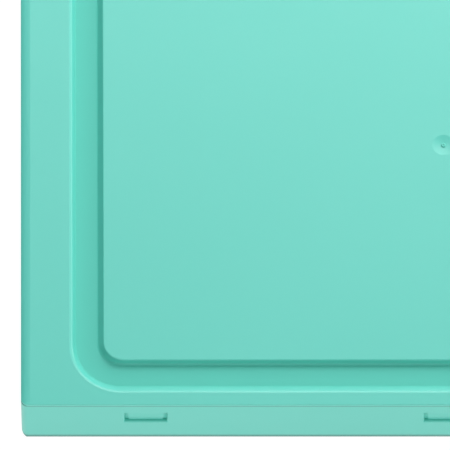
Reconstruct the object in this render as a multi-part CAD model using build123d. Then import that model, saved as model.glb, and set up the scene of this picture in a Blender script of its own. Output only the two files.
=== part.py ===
from build123d import *
import os

# Covered sand tray for table or floor play, all moulded plastic, in millimetres.
# Origin: centre of the footprint, on the surface that the feet stand on. +Z up, -Y is the front.

# Overall size
WIDTH = 720.0            # along X, over the outer walls
DEPTH = 485.0            # along Y
FOOT_DROP = 3.0          # feet below the frame's underside
FRAME_HEIGHT = 66.0      # outer wall, underside to the seam with the cover
COVER_EDGE = 3.0         # cover's outer edge, seam to rim
PANEL_RISE = 1.0         # raised panel above the rim

# Levels
FRAME_BASE = FOOT_DROP
SEAM = FRAME_BASE + FRAME_HEIGHT
RIM = SEAM + COVER_EDGE
PANEL_TOP = RIM + PANEL_RISE

# Tray frame
DRAFT = 0.9              # each outer wall leans in by this much from seam to underside
WALL = 3.0
SIDE_BASE_RADIUS = 8.5   # left and right walls curl under
END_BASE_RADIUS = 2.0    # lower edges of the front and back walls
CORNER_RADIUS = 5.5      # plan corner of the outer walls
SEAM_RADIUS = 0.6        # eased top edge, which leaves a fine groove at the seam
FLANGE = 57.0            # inward flange round the underside
FLANGE_TOP = FRAME_BASE + WALL

# Snap tongues: a U-shaped slot in the front and back walls frees a tongue that hangs from its top
SNAP_PITCH = 254.0
SNAP_COUNT = 3
SLOT_WIDTH = 35.4
SLOT_HIGH = SEAM - 15.6
SLOT_LOW = SEAM - 33.1
SLOT_CORNER = 0.8
SLOT_EDGE_RADIUS = 1.8   # rounding of the slot's outer edge
TONGUE_WIDTH, TONGUE_LOW = 30.0, SEAM - 22.0
TONGUE_LEAN = 0.2
NOSE_DEPTH, NOSE_HEIGHT, NOSE_SLOPE, NOSE_INSET = 3.2, 3.4, 2.4, 2.0
NOSE_HIGH = TONGUE_LOW + NOSE_HEIGHT

# Cover
SKIN = 2.5
SIDE_RIM = 42.9          # outer edge to channel, left and right
FRONT_RIM = 12.1         # the same, front and back
SIDE_CHANNEL = 27.2      # across the channel, between its top edges, left and right
FRONT_CHANNEL = 28.7     # the same, front and back
CHANNEL_DEPTH = 5.0
CHANNEL_RADIUS = 43.0    # plan corner of the channel's outer edge
CHANNEL_RUN = (3.4, 7.5)     # slope of the channel's outer wall: at the sides, at the front and back
CHANNEL_LIP_RADIUS = 4.0     # its rounded top edge
CHANNEL_BASE_RADIUS = 1.5    # its hollow foot
PANEL_RADIUS = 17.0
PANEL_RUN = (4.6, 0.6)   # slope of the raised panel's wall: at the sides, at the front and back
PANEL_SWEEP = 2.4        # hollow foot of the panel's wall
PANEL_EDGE_RADIUS = 1.1
SIDE_ROUNDING = (8.0, 2.5)   # half axes of the oval rounding along the cover's left and right edges
FRONT_TOP_RADIUS = 0.45  # front and back edges of the cover
COVER_CORNER_RADIUS = 6.6    # its plan corner
COVER_SEAM_RADIUS = 0.3
LIP_WIDTH = 2.5          # locating lip under the cover, inside the basin's mouth
LIP_OFFSET = 7.0         # panel edge to lip
LIP_LOW = SEAM - 12.0
LIP_LEAN = 0.6
RIB, RIB_PITCH = 2.0, 60.0
GATE_DIMPLE_RADIUS, GATE_DIMPLE_DEPTH = 9.5, 0.8
GATE_NUB_RADIUS, GATE_NUB_PIT, GATE_NUB_HEIGHT = 1.9, 0.7, 0.9

# Sand basin
BASIN_SKIN = 2.5
BASIN_RIM = SEAM - 6.6   # top of its flange
LIP_GAP = 1.6            # cover's lip to the basin's mouth
BASIN_FLOOR = 14.0       # underside of its floor
BASIN_DRAFT = 4.0        # its walls lean in by this much
BASIN_RADIUS = 25.6      # plan corner of its mouth
BASIN_SWEEP = 9.0        # fillet between wall and floor
BASIN_FIT = 0.2          # its flange to the frame's wall
LOOP_WIDTH, LOOP_SKIN, LOOP_LOW = 40.0, 1.6, SLOT_LOW - 3.0   # loops that catch the snap noses
LOOP_FIT = 0.4
PAD_WIDTH, PAD_LOW, PAD_HIGH, PAD_DEPTH = 29.0, SLOT_LOW + 0.15, TONGUE_LOW - 2.0, 2.3   # pushed in to free a loop

# Floor beams, screws, feet and drain
BEAM_WIDTH, BEAM_SKIN, BEAM_PITCH = 60.0, 2.5, 200.0
BEAM_GAP = 1.0           # beam end to frame wall
SCREW_RADIUS, SCREW_HEAD_RADIUS, SCREW_HEAD, SCREW_LENGTH = 1.9, 4.0, 2.2, 9.5
SCREW_FIT = 0.05
SCREW_X, SCREW_Y = 18.0, 205.0
BOSS_RADIUS = 5.0
FOOT_RADIUS, FOOT_STEM, FOOT_BUTTON = 11.0, 4.0, 5.6
FOOT_OUTER_X, FOOT_INNER_X, FOOT_Y = 315.0, 100.0, 205.0
DRAIN_X, DRAIN_Y, DRAIN_RADIUS = 100.0, -150.0, 14.0
DRAIN_FIT = 0.08

os.makedirs("parts", exist_ok=True)


def save(part, name, colour):
    part.color = Color(colour)
    part.label = name
    export_step(part, f"parts/{name}.step")


def block(x0, x1, y0, y1, z0, z1):
    size = (x1 - x0, y1 - y0, z1 - z0)
    return Pos((x0 + x1) / 2, (y0 + y1) / 2, (z0 + z1) / 2) * Box(*size)


def mouth(width, depth, radius, top, drop, run_x, run_y):
    """A rounded rectangle at height top, going down by drop and leaning in by run_x and run_y."""
    outline = Pos(0, 0, top) * RectangleRounded(width, depth, radius)
    smaller = RectangleRounded(width - 2 * run_x, depth - 2 * run_y, radius - (run_x + run_y) / 2)
    return loft([outline.faces()[0], (Pos(0, 0, top - drop) * smaller).faces()[0]])


def walls_form(inset, low, high, side_radius=0.0, end_radius=0.0):
    """The frame's outer form, or the same moved inwards: drafted walls, rounded corners and lower edges."""
    lean = DRAFT * (SEAM - low) / FRAME_HEIGHT
    rise = DRAFT * (high - SEAM) / FRAME_HEIGHT

    def section(half):
        points = [(-half + lean, low), (half - lean, low), (half + rise, high), (-half - rise, high)]
        return make_face(Polyline(*points, close=True))
    across, along = section(WIDTH / 2 - inset), section(DEPTH / 2 - inset)
    body = extrude(Plane.XZ * across, DEPTH, both=True) & extrude(Plane.YZ * along, WIDTH, both=True)
    level = Plane.XY.offset((low + high) / 2)
    upright = [e for e in body.edges() if abs(e.center().Z - level.origin.Z) < 0.01]
    body = fillet(upright, CORNER_RADIUS - inset)
    for plane, face, radius in ((Plane.XZ, across, side_radius), (Plane.YZ, along, end_radius)):
        if radius > 0:
            corners = face - fillet(face.vertices().sort_by(Axis.Y)[:2], radius)
            body -= extrude(plane * corners, WIDTH, both=True)
    return body


def snap_places():
    """x and side of every snap tongue: side is -1 at the front and 1 at the back."""
    first = -SNAP_PITCH * (SNAP_COUNT - 1) / 2
    return [(first + SNAP_PITCH * i, side) for side in (-1, 1) for i in range(SNAP_COUNT)]


def tray_frame():
    body = walls_form(0, FRAME_BASE, SEAM, SIDE_BASE_RADIUS, END_BASE_RADIUS)
    body -= walls_form(WALL, FLANGE_TOP, SEAM + 1, SIDE_BASE_RADIUS - WALL)
    body = fillet(body.faces().sort_by(Axis.Z)[-1].outer_wire().edges(), SEAM_RADIUS)
    # the flange's opening, and the ribs that stiffen the walls and carry the basin's flange
    body -= Pos(0, 0, FRAME_BASE) * extrude(
        RectangleRounded(WIDTH - 2 * FLANGE - 2 * WALL, DEPTH - 2 * FLANGE - 2 * WALL, 12), 2 * WALL, both=True)
    rib_top = BASIN_RIM - BASIN_SKIN
    outside = walls_form(WALL / 2, FRAME_BASE + 1, SEAM, SIDE_BASE_RADIUS - WALL / 2)
    for side in (-1, 1):
        for x in (-330, -145, -64, 64, 145, 330):
            rib = block(x - 1, x + 1, *sorted((side * DEPTH / 2, side * (DEPTH / 2 - 14))), FLANGE_TOP - 1, rib_top)
            body += rib & outside
        for y in (-180, -60, 60, 180):
            rib = block(*sorted((side * WIDTH / 2, side * (WIDTH / 2 - 24))), y - 1, y + 1, FLANGE_TOP - 1, rib_top)
            body += rib & outside
    for x, side in snap_places():
        body = cut_snap(body, x, side)
    for x in beam_places():
        for px, py in screw_places(x):
            body -= Pos(px, py, FRAME_BASE) * Cylinder(SCREW_RADIUS + 0.4, 4 * WALL)
    for x, y in foot_places().values():
        body -= Pos(x, y, FRAME_BASE) * Cylinder(FOOT_STEM + 0.05, 4 * WALL)
    return body


def cut_snap(body, x, side):
    """Cuts one U-shaped slot, rounds its outer edge and adds the tongue's catch nose."""
    outer = side * DEPTH / 2
    inner = side * (DEPTH / 2 - WALL - DRAFT)
    through = sorted((outer + side, inner - side * 0.5))
    slot = block(x - SLOT_WIDTH / 2, x + SLOT_WIDTH / 2, *through, SLOT_LOW, SLOT_HIGH)
    slot = fillet(slot.edges().filter_by(Axis.Y), SLOT_CORNER)
    body -= slot - block(x - TONGUE_WIDTH / 2, x + TONGUE_WIDTH / 2, *through, TONGUE_LOW, SLOT_HIGH)
    face = DEPTH / 2 - DRAFT * (SEAM - SLOT_LOW) / FRAME_HEIGHT
    sill = [e for e in body.edges() if abs(e.center().Z - SLOT_LOW) < 0.01 and abs(e.center().X - x) < 1
            and abs(side * e.center().Y - face) < 0.1]
    body = fillet(sill, SLOT_EDGE_RADIUS)
    # the nose on the tongue's inner face: sloped on top, flat below
    reach = side * (DEPTH / 2 - WALL - NOSE_DEPTH)
    nose = block(x - TONGUE_WIDTH / 2 + NOSE_INSET, x + TONGUE_WIDTH / 2 - NOSE_INSET,
                 *sorted((side * (DEPTH / 2 - WALL), reach)), TONGUE_LOW, NOSE_HIGH)
    lead = nose.edges().filter_by(Axis.X).sort_by(Axis.Z)[-2:].sort_by(lambda e: abs(e.center().Y))[0]
    nose = chamfer(lead, NOSE_SLOPE)
    # the tongue leans out a little towards its free end
    root = DEPTH / 2 - DRAFT * (SEAM - SLOT_HIGH) / FRAME_HEIGHT
    profile = [(side * (root - 1), SLOT_HIGH), (side * root, SLOT_HIGH),
               (side * (root + TONGUE_LEAN), TONGUE_LOW), (side * (root - 1), TONGUE_LOW)]
    lean = Pos(x, 0, 0) * extrude(Plane.YZ * make_face(Polyline(*profile, close=True)), TONGUE_WIDTH / 2, both=True)
    return body + nose + lean


def cover_outline():
    """The channel's outer edge and the raised panel's edge, as width, depth and plan radius."""
    channel = (WIDTH - 2 * SIDE_RIM, DEPTH - 2 * FRONT_RIM, CHANNEL_RADIUS)
    side = SIDE_RIM + SIDE_CHANNEL
    front = FRONT_RIM + FRONT_CHANNEL
    return channel, (WIDTH - 2 * side, DEPTH - 2 * front, PANEL_RADIUS)


def cover_plate():
    """The cover's plate: rounded plan corners, an oval rounding along the left and right edges."""
    across, down = SIDE_ROUNDING
    half = WIDTH / 2
    left = EllipticalCenterArc((-half + across, RIM - down), across, down, 90, arc_size=90)
    right = EllipticalCenterArc((half - across, RIM - down), across, down, 0, arc_size=90)
    base = Polyline(left @ 1, (-half, SEAM), (half, SEAM), right @ 0)
    top = Line(right @ 1, left @ 0)
    plate = extrude(Plane.XZ * make_face([left, base, right, top]), DEPTH / 2, both=True)
    ends = plate.edges().filter_by(Axis.X).sort_by(Axis.Z)[-2:]
    plate = fillet(ends, FRONT_TOP_RADIUS)
    corners = Rectangle(2 * WIDTH, 2 * DEPTH) - RectangleRounded(WIDTH, DEPTH, COVER_CORNER_RADIUS)
    plate -= Pos(0, 0, SEAM) * extrude(corners, 2 * COVER_EDGE, both=True)
    return fillet(plate.faces().sort_by(Axis.Z)[0].edges(), COVER_SEAM_RADIUS)


def cover_shell():
    channel, panel = cover_outline()
    floor = RIM - CHANNEL_DEPTH
    # plate, and the channel pressed down into it
    width, depth, radius = channel
    body = cover_plate() + mouth(width + 2 * SKIN, depth + 2 * SKIN, radius + SKIN, RIM, CHANNEL_DEPTH + SKIN,
                                 *CHANNEL_RUN)
    body -= mouth(*channel, RIM, CHANNEL_DEPTH, *CHANNEL_RUN)
    lip = [e for e in body.edges() if abs(e.center().Z - RIM) < 0.01
           and abs(e.center().X) < width / 2 + 1 and abs(e.center().Y) < depth / 2 + 1]
    body = fillet(lip, CHANNEL_LIP_RADIUS)
    base = [e for e in body.edges() if abs(e.center().Z - floor) < 0.01]
    body = fillet(base, CHANNEL_BASE_RADIUS)
    # raised panel, standing on the channel floor
    width, depth, radius = panel
    run_x, run_y = PANEL_RUN
    body += mouth(width + 2 * run_x, depth + 2 * run_y, radius + (run_x + run_y) / 2, floor,
                  floor - PANEL_TOP, run_x, run_y)
    foot = [e for e in body.edges() if abs(e.center().Z - floor) < 0.01
            and abs(e.center().X) < width / 2 + run_x + 1 and abs(e.center().Y) < depth / 2 + run_y + 1]
    body = fillet(foot, PANEL_SWEEP)
    body = fillet(body.faces().sort_by(Axis.Z)[-1].outer_wire().edges(), PANEL_EDGE_RADIUS)
    body = gate_mark(body)
    # the hollow under the panel, its ribs and the locating lip round it
    inset = 2 * (SKIN + 1)
    under = floor - SKIN
    body -= mouth(width - inset + 2 * run_x, depth - inset + 2 * run_y, radius, under - 1,
                  under - 1 - (PANEL_TOP - SKIN), run_x, run_y)
    lip_width, lip_depth, lip_radius = width + 2 * LIP_OFFSET, depth + 2 * LIP_OFFSET, radius + LIP_OFFSET
    ring = mouth(lip_width, lip_depth, lip_radius, under + 1, under + 1 - LIP_LOW, LIP_LEAN, LIP_LEAN)
    ring -= mouth(lip_width - 2 * LIP_WIDTH, lip_depth - 2 * LIP_WIDTH, lip_radius - LIP_WIDTH, under + 1.5,
                  under + 2.5 - LIP_LOW, LIP_LEAN, LIP_LEAN)
    return body + ring + panel_ribs(width, depth)


def gate_mark(body):
    """The moulding gate's mark at the middle of the panel: a shallow dish with a small nub."""
    big = (GATE_DIMPLE_RADIUS ** 2 + GATE_DIMPLE_DEPTH ** 2) / (2 * GATE_DIMPLE_DEPTH)
    body -= Pos(0, 0, PANEL_TOP - GATE_DIMPLE_DEPTH + big) * Sphere(big)
    nub = Cylinder(GATE_NUB_RADIUS, 2 * GATE_NUB_HEIGHT)
    nub = fillet(nub.edges().sort_by(Axis.Z)[-1], 0.5)
    nub -= Pos(0, 0, GATE_NUB_HEIGHT) * Cylinder(GATE_NUB_PIT, 1.0)
    return body + Pos(0, 0, PANEL_TOP - GATE_DIMPLE_DEPTH) * nub


def panel_ribs(width, depth):
    """A grid of ribs under the panel, stopping short of its wall."""
    low, high = RIM - CHANNEL_DEPTH - SKIN + 0.5, PANEL_TOP - SKIN + 0.2
    ribs = []
    x_span, y_span = width / 2 - 2, depth / 2 - 2
    steps_x, steps_y = int(x_span // RIB_PITCH), int(y_span // RIB_PITCH)
    for i in range(-steps_x, steps_x + 1):
        ribs.append(block(i * RIB_PITCH - RIB / 2, i * RIB_PITCH + RIB / 2, -y_span, y_span, low, high))
    for j in range(-steps_y, steps_y + 1):
        ribs.append(block(-x_span, x_span, j * RIB_PITCH - RIB / 2, j * RIB_PITCH + RIB / 2, low, high))
    grid = ribs[0]
    for rib in ribs[1:]:
        grid += rib
    return grid


def cover_seal():
    """Soft loop under the channel floor that meets the basin's flange all round."""
    channel, _ = cover_outline()
    width, depth, radius = (channel[0] - 20, channel[1] - 20, channel[2] - 10)
    high = RIM - CHANNEL_DEPTH - SKIN
    loop = RectangleRounded(width, depth, radius) - RectangleRounded(width - 8, depth - 8, radius - 4)
    return Pos(0, 0, BASIN_RIM + 0.1) * extrude(loop, high - BASIN_RIM - 0.1)


def basin_mouth():
    _, (width, depth, _) = cover_outline()
    grow = 2 * (LIP_OFFSET + LIP_GAP)
    return width + grow, depth + grow, BASIN_RADIUS


def sand_basin():
    width, depth, radius = basin_mouth()
    flange_low = BASIN_RIM - BASIN_SKIN
    gap = WALL + BASIN_FIT
    flange = walls_form(gap, flange_low, BASIN_RIM)
    drop = BASIN_RIM - BASIN_FLOOR
    outside = mouth(width + 2 * BASIN_SKIN, depth + 2 * BASIN_SKIN, radius + BASIN_SKIN, BASIN_RIM, drop,
                    BASIN_DRAFT, BASIN_DRAFT)
    outside = fillet(outside.faces().sort_by(Axis.Z)[0].edges(), BASIN_SWEEP + BASIN_SKIN)
    inside = mouth(width, depth, radius, BASIN_RIM, drop - BASIN_SKIN, BASIN_DRAFT, BASIN_DRAFT)
    inside = fillet(inside.faces().sort_by(Axis.Z)[0].edges(), BASIN_SWEEP)
    body = flange + outside - inside
    body = fillet([e for e in body.edges() if abs(e.center().Z - BASIN_RIM) < 0.01
                   and abs(e.center().X) < width / 2 + 1 and abs(e.center().Y) < depth / 2 + 1], 1.2)
    # loops that hang from the flange: each has a window that the frame's snap nose springs into
    near = DEPTH / 2 - gap - DRAFT * (SEAM - LOOP_LOW) / FRAME_HEIGHT
    far = near - LOOP_SKIN
    window = TONGUE_WIDTH / 2 - NOSE_INSET + 2 * LOOP_FIT
    for x, side in snap_places():
        loop = block(x - LOOP_WIDTH / 2, x + LOOP_WIDTH / 2, *sorted((side * near, side * far)), LOOP_LOW,
                     flange_low + 1)
        loop -= block(x - window, x + window, *sorted((side * (near + 1), side * (far - 1))),
                      TONGUE_LOW - LOOP_FIT, NOSE_HIGH + 4 * LOOP_FIT)
        front = DEPTH / 2 - DRAFT * (SEAM - PAD_LOW) / FRAME_HEIGHT - PAD_DEPTH
        pad = block(x - PAD_WIDTH / 2, x + PAD_WIDTH / 2, *sorted((side * front, side * (near - LOOP_SKIN / 2))),
                    PAD_LOW, PAD_HIGH)
        body += loop + pad
    return body - Pos(DRAIN_X, DRAIN_Y, BASIN_FLOOR) * Cylinder(DRAIN_RADIUS + DRAIN_FIT, 4 * BASIN_SKIN)


def drain_plug():
    """Bung with a flat head, and a bar across its dished top for a finger to pull."""
    top = BASIN_FLOOR + BASIN_SKIN
    body = Pos(0, 0, top - 5) * Cylinder(DRAIN_RADIUS, 10)
    head = Pos(0, 0, top + 0.8) * Cylinder(DRAIN_RADIUS + 4, 1.6)
    head = fillet(head.edges().sort_by(Axis.Z)[-1], 0.7)
    body += head
    body = chamfer(body.edges().sort_by(Axis.Z)[0], 1.2)
    body -= Pos(0, 0, top - 1) * Cylinder(DRAIN_RADIUS - 2.5, 12)
    bar = Pos(0, 0, top - 1.5) * Box(2 * DRAIN_RADIUS - 4, 4, 5)
    return Pos(DRAIN_X, DRAIN_Y, 0) * (body + bar)


def beam_places():
    return [-BEAM_PITCH, 0.0, BEAM_PITCH]


def screw_places(x):
    return [(x + sx * SCREW_X, sy * SCREW_Y) for sx in (-1, 1) for sy in (-1, 1)]


def floor_beam(x):
    """A channel-section beam from front to back: it lies on the flange and carries the basin's floor."""
    half = DEPTH / 2 - WALL - DRAFT - BEAM_GAP
    low, high = FLANGE_TOP, BASIN_FLOOR
    body = block(x - BEAM_WIDTH / 2, x + BEAM_WIDTH / 2, -half, half, low, high)
    body = fillet(body.edges().filter_by(Axis.Z), 4)
    hollow = block(x - BEAM_WIDTH / 2 + BEAM_SKIN, x + BEAM_WIDTH / 2 - BEAM_SKIN,
                   -half + BEAM_SKIN, half - BEAM_SKIN, low - 1, high - BEAM_SKIN)
    body -= fillet(hollow.edges().filter_by(Axis.Z), 2)
    for y in range(-3, 4):
        body += block(x - BEAM_WIDTH / 2 + 1, x + BEAM_WIDTH / 2 - 1, 58 * y - 1, 58 * y + 1, low, high - 1)
    for px, py in screw_places(x):
        body += Pos(px, py, (low + high - 1) / 2) * Cylinder(BOSS_RADIUS, high - 1 - low)
        depth = SCREW_LENGTH - WALL + 0.3
        body -= Pos(px, py, low + depth / 2) * Cylinder(SCREW_RADIUS + SCREW_FIT, depth)
    return body


def beam_screws():
    """Round-headed screws, driven up through the flange into the beams' bosses."""
    screws = []
    for x in beam_places():
        for px, py in screw_places(x):
            head = Pos(0, 0, -SCREW_HEAD / 2) * Cylinder(SCREW_HEAD_RADIUS, SCREW_HEAD)
            head = fillet(head.edges().sort_by(Axis.Z)[0], 1.2)
            for turn in (0, 90):
                head -= Rot(0, 0, turn) * Pos(0, 0, -SCREW_HEAD) * Box(4.4, 0.9, 2.4)
            shank = Pos(0, 0, SCREW_LENGTH / 2 - 0.2) * Cylinder(SCREW_RADIUS, SCREW_LENGTH + 0.4 - 0.8)
            tip = Pos(0, 0, SCREW_LENGTH - 0.4) * Cone(SCREW_RADIUS, 0.8, 0.8)
            screws.append(Pos(px, py, FRAME_BASE) * (head + shank + tip))
    return Compound(children=screws)


def foot_places():
    """Name and centre of every foot."""
    rows = {"front": -FOOT_Y, "back": FOOT_Y}
    columns = {"outer_left": -FOOT_OUTER_X, "inner_left": -FOOT_INNER_X,
               "inner_right": FOOT_INNER_X, "outer_right": FOOT_OUTER_X}
    return {f"foot_{row}_{column}": (x, y) for row, y in rows.items() for column, x in columns.items()}


def foot(x, y):
    """Soft foot: a tread disc below the flange, a stem through it and a button above."""
    tread = Pos(0, 0, FOOT_DROP / 2) * Cylinder(FOOT_RADIUS, FOOT_DROP)
    tread = fillet(tread.edges().sort_by(Axis.Z)[0], 1.0)
    stem = Pos(0, 0, FRAME_BASE + WALL / 2) * Cylinder(FOOT_STEM, WALL)
    button = Pos(0, 0, FLANGE_TOP + 1) * Cylinder(FOOT_BUTTON, 2)
    button = fillet(button.edges().sort_by(Axis.Z)[-1], 0.9)
    return Pos(x, y, 0) * (tread + stem + button)


save(cover_shell(), "cover_shell", "mediumturquoise")
save(cover_seal(), "cover_seal", "dimgray")
save(tray_frame(), "tray_frame", "mediumaquamarine")
save(sand_basin(), "sand_basin", "aquamarine")
for side_name, beam_x in zip(("left", "middle", "right"), beam_places()):
    save(floor_beam(beam_x), f"floor_beam_{side_name}", "lightgray")
save(beam_screws(), "beam_screws", "silver")
for foot_name, (foot_x, foot_y) in foot_places().items():
    save(foot(foot_x, foot_y), foot_name, "dimgray")
save(drain_plug(), "drain_plug", "gray")
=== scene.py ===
# %% [markdown]
# # A covered sand tray in moulded plastic
# The tray is a handful of large injection mouldings: an outer frame with snap slots, a basin that
# hangs inside it, and a lift-off cover with a raised panel inside a channel. The CAD frame already
# holds every hard shape at its real size, so Blender's work here is the surfaces, the soft parts,
# the light and the camera.

# %% Load the frame
import math

import bmesh
import bpy
from mathutils import Matrix, Vector


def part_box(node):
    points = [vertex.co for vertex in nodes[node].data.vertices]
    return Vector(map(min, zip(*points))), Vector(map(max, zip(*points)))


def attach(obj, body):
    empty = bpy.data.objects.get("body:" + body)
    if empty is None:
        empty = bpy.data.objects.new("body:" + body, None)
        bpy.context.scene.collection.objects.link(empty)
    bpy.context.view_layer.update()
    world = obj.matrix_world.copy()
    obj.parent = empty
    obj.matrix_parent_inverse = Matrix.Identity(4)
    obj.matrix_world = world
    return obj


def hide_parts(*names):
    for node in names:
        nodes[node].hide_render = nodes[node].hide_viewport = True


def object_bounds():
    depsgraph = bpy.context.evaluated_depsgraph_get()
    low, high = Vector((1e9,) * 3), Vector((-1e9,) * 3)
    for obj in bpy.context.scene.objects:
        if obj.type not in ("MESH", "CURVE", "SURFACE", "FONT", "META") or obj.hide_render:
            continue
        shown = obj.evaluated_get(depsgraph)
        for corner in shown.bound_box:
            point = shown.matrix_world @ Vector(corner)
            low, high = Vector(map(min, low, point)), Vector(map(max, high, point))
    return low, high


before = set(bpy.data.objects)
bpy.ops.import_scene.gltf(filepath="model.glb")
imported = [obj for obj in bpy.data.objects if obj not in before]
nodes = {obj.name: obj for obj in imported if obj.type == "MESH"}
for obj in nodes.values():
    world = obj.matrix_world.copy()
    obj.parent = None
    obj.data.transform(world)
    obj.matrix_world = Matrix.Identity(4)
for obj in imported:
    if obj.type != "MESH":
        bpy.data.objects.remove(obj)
cad_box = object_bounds()
mm = 0.001
print("CAD box", [round(v, 4) for corner in cad_box for v in corner])

# %% [markdown]
# Two small helpers serve the whole file. Hex colours are how a plastics maker's colour card gives
# them, in sRGB, and a shader wants linear light. A shader is a graph, and one function that makes a
# node, sets its values and joins its inputs keeps each material short enough to read.

# %% Colour and node helpers
def linear(hex_colour, strength=1.0):
    """An sRGB hex colour as the linear RGBA that shader sockets take."""
    channels = [int(hex_colour[i:i + 2], 16) / 255 for i in (0, 2, 4)]
    light = [c / 12.92 if c <= 0.04045 else ((c + 0.055) / 1.055) ** 2.4 for c in channels]
    return (*[c * strength for c in light], 1.0)


def add_node(tree, kind, values=None, links=None, **settings):
    """Adds one shader node: values go on its sockets, links join them to other nodes' outputs."""
    node = tree.nodes.new("ShaderNode" + kind)
    for name, value in settings.items():
        setattr(node, name, value)
    for socket, value in (values or {}).items():
        node.inputs[socket].default_value = value
    for socket, source in (links or {}).items():
        tree.links.new(source, node.inputs[socket])
    return node


def new_material(name):
    """An empty material: its node tree and its output node."""
    material = bpy.data.materials.new(name)
    material.use_nodes = True
    material.node_tree.nodes.clear()
    return material, material.node_tree, add_node(material.node_tree, "OutputMaterial")


def dress(names, material):
    """Puts one material on each named CAD node."""
    for name in names:
        mesh = nodes[name].data
        mesh.materials.clear()
        mesh.materials.append(material)
    print(material.name, "on", len(names), "nodes")


# %% [markdown]
# ## Moulded polypropylene
# The cover, frame and basin are polypropylene from a polished steel mould. That gives the eye an
# even, saturated colour, a soft satin gloss, and, when it catches a lamp, the faint orange peel of
# plastic that shrank as it cooled. The colour is all but uniform: pigment streams a little with the
# melt, so a very wide noise shifts it by a few parts in a hundred. The steel at the bottom of the
# cover's channel is spark-eroded and never polished, so there the plastic is duller, and its colour
# is made deeper there as painted shade for the recess: height above the floor says where, because the
# mould was made in levels. On the frame, height also says where painted shade darkens the wall, in a
# fine line under the seam and along its lower edge.

# %% Polypropylene
STREAK_WIDTH = 220 * mm          # how wide the pigment streams are
GLOSS_PATCH = 35 * mm            # how wide the patches of slightly different gloss are
GLOSS_SPREAD = 0.03              # how far their roughness strays


def polypropylene(name, colour, streak_colour, roughness, peel_mm, peel_depth_mm, grain_mm=None, dull_and_shaded_floor=None,
                  painted_shade_bands=()):
    """Moulded polypropylene. An optional duller level of the mould, deep in the channel, also darkens the
    colour there as painted shade; optional bands by height darken it as painted shade.
    """
    material, tree, output = new_material(name)
    place = add_node(tree, "TexCoord").outputs["Object"]
    streaks = add_node(tree, "TexNoise", {"Scale": 1 / STREAK_WIDTH, "Detail": 2.0, "Roughness": 0.4},
                       {"Vector": place})
    tint = add_node(tree, "Mix", {6: linear(colour), 7: linear(streak_colour)},
                    {0: streaks.outputs["Fac"]}, data_type="RGBA").outputs[2]
    peel = add_node(tree, "TexNoise", {"Scale": 1 / (peel_mm * mm), "Detail": 1.0}, {"Vector": place})
    height = peel.outputs["Fac"]
    if grain_mm:
        grain = add_node(tree, "TexVoronoi", {"Scale": 1 / (grain_mm * mm)}, {"Vector": place})
        height = add_node(tree, "Math", {}, {0: peel.outputs["Fac"], 1: grain.outputs["Distance"]},
                          operation="ADD").outputs[0]
    gloss_noise = add_node(tree, "TexNoise", {"Scale": 1 / GLOSS_PATCH, "Detail": 3.0}, {"Vector": place})
    gloss = add_node(tree, "MapRange", {"To Min": roughness - GLOSS_SPREAD,
                                        "To Max": roughness + GLOSS_SPREAD},
                     {"Value": gloss_noise.outputs["Fac"]}).outputs[0]
    level = add_node(tree, "SeparateXYZ", {}, {"Vector": place}).outputs["Z"]
    # Deeper in the channel the roughness rises, and the colour darkens as painted shade for the recess.
    if dull_and_shaded_floor:
        deep = add_node(tree, "MapRange", {"From Min": dull_and_shaded_floor["starts"], "From Max": dull_and_shaded_floor["full"]},
                        {"Value": level}).outputs[0]
        gloss = add_node(tree, "Mix", {3: dull_and_shaded_floor["roughness"]}, {0: deep, 2: gloss}).outputs[0]
        tint = add_node(tree, "Mix", {7: linear(dull_and_shaded_floor["colour"])}, {0: deep, 6: tint},
                        data_type="RGBA").outputs[2]
    # Each band darkens the colour by height as painted shade.
    for starts, full, shade_colour in painted_shade_bands:
        amount = add_node(tree, "MapRange", {"From Min": starts, "From Max": full}, {"Value": level},
                          interpolation_type="SMOOTHSTEP").outputs[0]
        tint = add_node(tree, "Mix", {7: linear(shade_colour)}, {0: amount, 6: tint},
                        data_type="RGBA").outputs[2]
    bump = add_node(tree, "Bump", {"Strength": 1.0, "Distance": peel_depth_mm * mm}, {"Height": height})
    shader = add_node(tree, "BsdfPrincipled",
                      {"IOR": 1.49, "Subsurface Weight": 0.12, "Subsurface Scale": 2.0 * mm,
                       "Subsurface Radius": (0.6, 1.0, 0.9)},
                      {"Base Color": tint, "Roughness": gloss, "Normal": bump.outputs[0]})
    tree.links.new(shader.outputs[0], output.inputs["Surface"])
    return material


COVER_EDGE = 3 * mm               # the cover's visible edge, above the seam
seam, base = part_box("tray_frame")[1].z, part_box("tray_frame")[0].z
rim = seam + COVER_EDGE
# The channel floor's colour 59d2c0 is painted shade for the recess; its roughness 0.6 is the unpolished
# mould.
channel_floor = {"starts": rim - 3.4 * mm, "full": rim - 4.8 * mm, "roughness": 0.6, "colour": "59d2c0"}
cover_plastic = polypropylene("moulded_polypropylene_cover", "60d2c2", "65d6c6", 0.36, 4.0, 0.004,
                              dull_and_shaded_floor=channel_floor)
# The frame's two bands are painted shade: a crease shadow under the seam and contact shade along the lower
# edge.
frame_plastic = polypropylene("moulded_polypropylene_frame", "5dd1c0", "61d5c4", 0.36, 4.0, 0.004,
                              painted_shade_bands=[(seam - 2.2 * mm, seam - 0.4 * mm, "4fb0a0"),
                                    (base + 8.0 * mm, base + 1.5 * mm, "3c7d72")])
basin_plastic = polypropylene("moulded_polypropylene_basin", "61cebe", "66d2c2", 0.45, 5.0, 0.012, 1.2)
dress(["cover_shell"], cover_plastic)
dress(["tray_frame"], frame_plastic)
dress(["sand_basin"], basin_plastic)

# %% [markdown]
# ## Hidden parts
# The floor beams are natural grey regrind with flecks in it, the feet, seal and bung are soft
# elastomer with a dusty sheen, and the screws are zinc-plated steel.

# %% Regrind, elastomer and zinc
beam_plastic = polypropylene("regrind_polypropylene_beam", "9aa09d", "8d9491", 0.5, 3.0, 0.02, 0.9)
dress([f"floor_beam_{side}" for side in ("left", "middle", "right")], beam_plastic)


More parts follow.
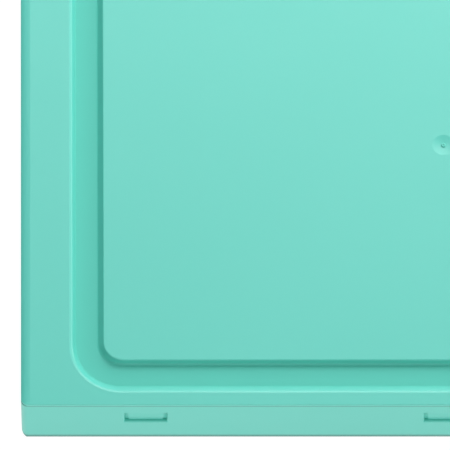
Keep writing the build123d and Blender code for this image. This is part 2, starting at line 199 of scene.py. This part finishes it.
def elastomer(name, colour, dusty_colour, roughness):
    material, tree, output = new_material(name)
    place = add_node(tree, "TexCoord").outputs["Object"]
    dust = add_node(tree, "TexNoise", {"Scale": 1 / (6 * mm), "Detail": 5.0, "Roughness": 0.7},
                    {"Vector": place})
    tint = add_node(tree, "Mix", {6: linear(colour), 7: linear(dusty_colour)},
                    {0: dust.outputs["Fac"]}, data_type="RGBA")
    skin = add_node(tree, "TexNoise", {"Scale": 1 / (0.5 * mm), "Detail": 2.0}, {"Vector": place})
    bump = add_node(tree, "Bump", {"Strength": 1.0, "Distance": 0.03 * mm}, {"Height": skin.outputs["Fac"]})
    shader = add_node(tree, "BsdfPrincipled", {"Roughness": roughness, "IOR": 1.5, "Sheen Weight": 0.15},
                      {"Base Color": tint.outputs[2], "Normal": bump.outputs[0]})
    tree.links.new(shader.outputs[0], output.inputs["Surface"])
    return material


seal_rubber = elastomer("soft_elastomer_seal", "c9cfcc", "bcc4c0", 0.6)
foot_rubber = elastomer("soft_rubber_foot", "2b2e2d", "3a3e3c", 0.7)
plug_rubber = elastomer("soft_elastomer_plug", "c9cfcc", "b4bdb8", 0.55)
print("three rubbers made")


def zinc_plate(name):
    material, tree, output = new_material(name)
    place = add_node(tree, "TexCoord").outputs["Object"]
    spangle = add_node(tree, "TexVoronoi", {"Scale": 1 / (1.2 * mm)}, {"Vector": place})
    gloss = add_node(tree, "MapRange", {"To Min": 0.22, "To Max": 0.42},
                     {"Value": spangle.outputs["Distance"]})
    shader = add_node(tree, "BsdfPrincipled", {"Base Color": linear("c4c8cc"), "Metallic": 1.0},
                      {"Roughness": gloss.outputs[0]})
    tree.links.new(shader.outputs[0], output.inputs["Surface"])
    return material


dress(["beam_screws"], zinc_plate("zinc_plated_steel"))

# %% [markdown]
# ## Modelling helpers
# The soft parts are modelled by hand, as a primitive that is shaped in edit mode. An operator acts
# on whatever is selected, so one helper selects faces by a test on their middle and their normal,
# and another closes a piece: it moves nothing, but smooths it, gives it its material and its slot,
# and hides the CAD node that it stands for.

# %% Selecting and finishing
def begin(name):
    """Names the new primitive, puts its place in its mesh and opens it in edit mode with nothing selected."""
    piece = bpy.context.active_object
    piece.name = name
    bpy.ops.object.transform_apply(location=True, rotation=True, scale=True)
    bpy.ops.object.mode_set(mode="EDIT")
    bpy.ops.mesh.select_mode(type="FACE")
    bpy.ops.mesh.select_all(action="DESELECT")
    return piece


def pick(piece, test):
    """Selects the faces whose middle and normal pass the test, and nothing else."""
    bpy.ops.mesh.select_all(action="DESELECT")
    mesh = bmesh.from_edit_mesh(piece.data)
    for face in mesh.faces:
        face.select_set(test(face.calc_center_median(), face.normal))
    bmesh.update_edit_mesh(piece.data)


def grow(up=0.0, inset=0.0):
    """Insets the picked face and draws the inner part up or down."""
    if inset:
        bpy.ops.mesh.inset(thickness=inset, depth=0)
    if up:
        bpy.ops.mesh.extrude_region_move(TRANSFORM_OT_translate={"value": (0, 0, up)})


def finish_piece(piece, material, body, node, edge_mm):
    """Rounds the edges, shades the piece, and lets it stand for its CAD node."""
    bpy.ops.object.mode_set(mode="OBJECT")
    bevel = piece.modifiers.new("eased_edges", "BEVEL")
    bevel.width, bevel.segments, bevel.limit_method = edge_mm * mm, 3, "ANGLE"
    bpy.ops.object.modifier_apply(modifier=bevel.name)
    bpy.ops.object.shade_smooth_by_angle(angle=math.radians(40))
    piece.data.materials.append(material)
    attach(piece, body)
    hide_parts(node)
    piece.select_set(False)


# %% [markdown]
# ## Feet
# A foot is one rubber moulding: a tread disc that grips the floor, a stem through the frame's hole
# and a button that is pulled through it. The tread has two fine rings with grooves between, because
# rings hold on a smooth floor better than a flat disc. All eight start from the same steps.

# %% Feet
TREAD = 3 * mm                    # thickness of the disc
STEM, STEM_LENGTH = 4 * mm, 3 * mm            # the stem's radius and length
BUTTON, BUTTON_CAP = 1.4 * mm, 0.6 * mm       # the button's height, and that of its narrower top
BUTTON_FLARE, CAP_TAPER = 1.4, 0.8            # how much wider and then narrower the button is
RING_WIDTH, RING_STEP = 1.6 * mm, 0.7         # the tread's rings, and how far in mm each one steps
for foot_name in sorted(name for name in nodes if name.startswith("foot_")):
    foot_low, foot_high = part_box(foot_name)
    centre = (foot_low + foot_high) / 2
    disc = (foot_high.x - foot_low.x) / 2
    bpy.ops.object.select_all(action="DESELECT")
    bpy.ops.mesh.primitive_cylinder_add(vertices=48, radius=disc, depth=TREAD, end_fill_type="NGON",
                                        location=(centre.x, centre.y, foot_low.z + TREAD / 2))
    foot = begin("rubber_" + foot_name)
    pick(foot, lambda middle, normal: normal.z > 0.9)
    grow(inset=disc - STEM)
    grow(up=STEM_LENGTH)
    bpy.ops.transform.resize(value=(BUTTON_FLARE, BUTTON_FLARE, 1), center_override=(centre.x, centre.y, 0))
    grow(up=BUTTON)
    bpy.ops.transform.resize(value=(CAP_TAPER, CAP_TAPER, 1), center_override=(centre.x, centre.y, 0))
    grow(up=BUTTON_CAP)
    pick(foot, lambda middle, normal: normal.z < -0.9 and middle.z < foot_low.z + 1 * mm)
    for step in (RING_STEP, -RING_STEP, RING_STEP):
        grow(inset=RING_WIDTH)
        grow(up=step * mm)
    finish_piece(foot, foot_rubber, "sandbox", foot_name, 0.25)
print("feet", [round(v * 1000, 1) for v in foot.dimensions], len(foot.data.polygons), "faces each")

# %% [markdown]
# ## Drain plug
# The bung has a flat head that seals on the basin's floor, a tapered barrel with two soft sealing
# lands, and a hollow with a bar across it that a finger can hook.

# %% Drain plug
HEAD_THICK = 1.6 * mm
HEAD_OVERHANG = 4 * mm            # how far the head reaches past the barrel
PLUG_WALL = 2.5 * mm
HOLLOW_DEPTH = 6.5 * mm
BAR = (4 * mm, 4.6 * mm)          # the finger bar's width and height
BAR_CLEAR = 4.6 * mm              # how much shorter it is than the barrel is wide
BAR_BELOW = 3.1 * mm              # how far its middle lies below the head's top
plug_low, plug_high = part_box("drain_plug")
axis = (plug_low + plug_high) / 2
head = (plug_high.x - plug_low.x) / 2
barrel = head - HEAD_OVERHANG
bpy.ops.object.select_all(action="DESELECT")
bpy.ops.mesh.primitive_cylinder_add(vertices=64, radius=head, depth=HEAD_THICK, end_fill_type="NGON",
                                    location=(axis.x, axis.y, plug_high.z - HEAD_THICK / 2))
plug = begin("soft_drain_plug")
pick(plug, lambda middle, normal: normal.z > 0.9)
grow(inset=head - barrel + PLUG_WALL)
grow(up=-HOLLOW_DEPTH)
pick(plug, lambda middle, normal: normal.z < -0.9 and middle.z > plug_high.z - 3 * mm)
grow(inset=head - barrel)
for drop, scale in ((3.2, 1.0), (0.5, 0.96), (1.2, 1.0), (0.5, 1 / 0.96), (2.4, 1.0), (1.2, 0.92)):
    grow(up=-drop * mm)
    bpy.ops.transform.resize(value=(scale, scale, 1), center_override=(axis.x, axis.y, 0))
bpy.ops.mesh.select_all(action="DESELECT")
bpy.ops.mesh.primitive_cube_add(size=1, location=(axis.x, axis.y, plug_high.z - BAR_BELOW),
                                scale=(2 * barrel - BAR_CLEAR, *BAR))
finish_piece(plug, plug_rubber, "drain_plug", "drain_plug", 0.4)
print("plug", [round(v * 1000, 1) for v in plug.dimensions], len(plug.data.polygons), "faces")

# %% [markdown]
# ## Seal
# The seal is an extruded elastomer loop. It starts as a flat plate the size of the loop, whose
# corners are rounded by a vertex bevel. The plate is inset to leave a ring, the ring is drawn up to
# its height, and its lower face gets a fine groove, which is what makes such a strip close softly.

# %% Seal
seal_low, seal_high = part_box("cover_seal")
size = seal_high - seal_low
STRIP = 4 * mm                    # the loop's width
LOOP_CORNER = 33 * mm             # its outer corner radius
GROOVE_IN, GROOVE_DEPTH = 1.3 * mm, 0.5 * mm
bpy.ops.object.select_all(action="DESELECT")
bpy.ops.mesh.primitive_plane_add(size=1, location=((seal_low.x + seal_high.x) / 2,
                                                   (seal_low.y + seal_high.y) / 2, seal_low.z))
seal = bpy.context.active_object
seal.scale = (size.x, size.y, 1)
seal = begin("soft_cover_seal")
bpy.ops.mesh.select_mode(type="VERT")
bpy.ops.mesh.select_all(action="SELECT")
bpy.ops.mesh.bevel(offset=LOOP_CORNER, segments=14, affect="VERTICES", clamp_overlap=False)
bpy.ops.mesh.select_mode(type="FACE")
pick(seal, lambda middle, normal: True)
bpy.ops.mesh.inset(thickness=STRIP, depth=0)
bpy.ops.mesh.delete(type="FACE")
pick(seal, lambda middle, normal: True)
bpy.ops.mesh.extrude_region_move(TRANSFORM_OT_translate={"value": (0, 0, size.z)})
bpy.ops.mesh.select_all(action="SELECT")
bpy.ops.mesh.normals_make_consistent(inside=False)
pick(seal, lambda middle, normal: normal.z < -0.9)
bpy.ops.mesh.inset(thickness=GROOVE_IN, depth=-GROOVE_DEPTH)
finish_piece(seal, seal_rubber, "cover", "cover_seal", 0.4)
print("seal", [round(v * 1000, 1) for v in seal.dimensions], len(seal.data.polygons), "faces")

# %% [markdown]
# ## Floor and light
# A white sweep, bright enough to stay white under the tray, is the floor, and it also lights the
# front wall. Four soft panels do the rest. The strongest hangs above and behind, and lays a faint
# gloss over the cover that fades towards the front. Two stand low behind and to the right, so that
# channel lips that face them catch a bright line, and slopes that face left or front fall into
# shade. A small one in front keeps the slots' lower edges clear.

# %% Floor
bpy.ops.object.select_all(action="DESELECT")
bpy.ops.mesh.primitive_plane_add(size=60, location=(0, 0, 0))
floor = bpy.context.active_object
floor.name = "studio_floor"
floor_white, tree, output = new_material("white_studio_sweep")
shader = add_node(tree, "BsdfPrincipled", {"Base Color": linear("ffffff", 0.25), "Roughness": 0.9,
                                           "Emission Color": linear("ffffff"), "Emission Strength": 0.92})
tree.links.new(shader.outputs[0], output.inputs["Surface"])
floor.data.materials.append(floor_white)


# %% Lamps
def soft_panel(name, place, aim, width, height, power):
    lamp = bpy.data.lights.new(name, "AREA")
    lamp.shape, lamp.size, lamp.size_y, lamp.energy = "RECTANGLE", width, height, power
    holder = bpy.data.objects.new(name, lamp)
    bpy.context.scene.collection.objects.link(holder)
    holder.location = place
    holder.rotation_euler = (Vector(aim) - Vector(place)).to_track_quat("-Z", "Y").to_euler()


middle = (cad_box[0] + cad_box[1]) / 2
soft_panel("overhead_panel", (0.25, 1.66, 2.1), middle, 1.6, 1.4, 36)
soft_panel("front_panel", (-0.3, -2.0, 1.05), middle, 1.2, 0.6, 8)
soft_panel("right_wall_panel", (2.2, 1.2, 0.8), middle, 1.3, 1.3, 26)
soft_panel("back_wall_panel", (0.0, 2.4, 0.7), middle, 1.3, 1.3, 22)

# %% [markdown]
# The room gives the rest. It is a little darker to the left, which is what lets slopes that face
# left read as shade: a world shader can be that simple, a strength that follows the direction.

# %% Room
world = bpy.data.worlds.new("pale_room")
world.use_nodes = True
room = world.node_tree
sideways = add_node(room, "SeparateXYZ", {}, {"Vector": add_node(room, "TexCoord").outputs["Generated"]})
strength = add_node(room, "MapRange", {"From Min": -0.7, "From Max": 0.4, "To Min": 0.2, "To Max": 0.52},
                    {"Value": sideways.outputs["X"]})
room.links.new(strength.outputs[0], room.nodes["Background"].inputs["Strength"])
room.nodes["Background"].inputs["Color"].default_value = linear("ffffff")
bpy.context.scene.world = world
bpy.context.scene.view_settings.view_transform = "Standard"

# %% [markdown]
# ## Camera
# The view is from in front and well above, 65 degrees up, through a very long lens, so that
# parallel edges stay all but parallel. A small turn of the camera cancels what is left of the
# lens's perspective on the left edge. The frame holds the front-left corner of the tray.

# %% Camera
ELEVATION = math.radians(65)
TURN = math.radians(-1.5)        # makes the left edge upright in the frame
VIEW_WIDTH = 381.0 * mm          # what the frame spans at the tray
LEFT_MARGIN = 17.7 * mm          # white left of the tray
BELOW_SEAM = 37.2 * mm           # from the frame's lower edge up to the seam, across the view
LENS, SENSOR = 1600.0, 36.0
low, high = cad_box
back = Vector((math.sin(TURN) * math.cos(ELEVATION), -math.cos(TURN) * math.cos(ELEVATION),
               math.sin(ELEVATION)))
right = Vector((1, 0, 0)) - back * back.x          # keeps the tray's front edge level in the frame
right.normalize()
up = back.cross(right)
corner = Vector((low.x, low.y, seam))
aim = corner + right * (VIEW_WIDTH / 2 - LEFT_MARGIN) + up * (VIEW_WIDTH / 2 - BELOW_SEAM)
lens = bpy.data.cameras.new("long_lens")
lens.lens, lens.sensor_width, lens.clip_end = LENS, SENSOR, 100.0
camera = bpy.data.objects.new("camera", lens)
bpy.context.scene.collection.objects.link(camera)
camera.rotation_euler = Matrix((right, up, back)).transposed().to_euler()
distance = VIEW_WIDTH * LENS / SENSOR
camera.location = aim + back * distance
bpy.context.scene.camera = camera
print("camera", round(distance, 2), "m away")
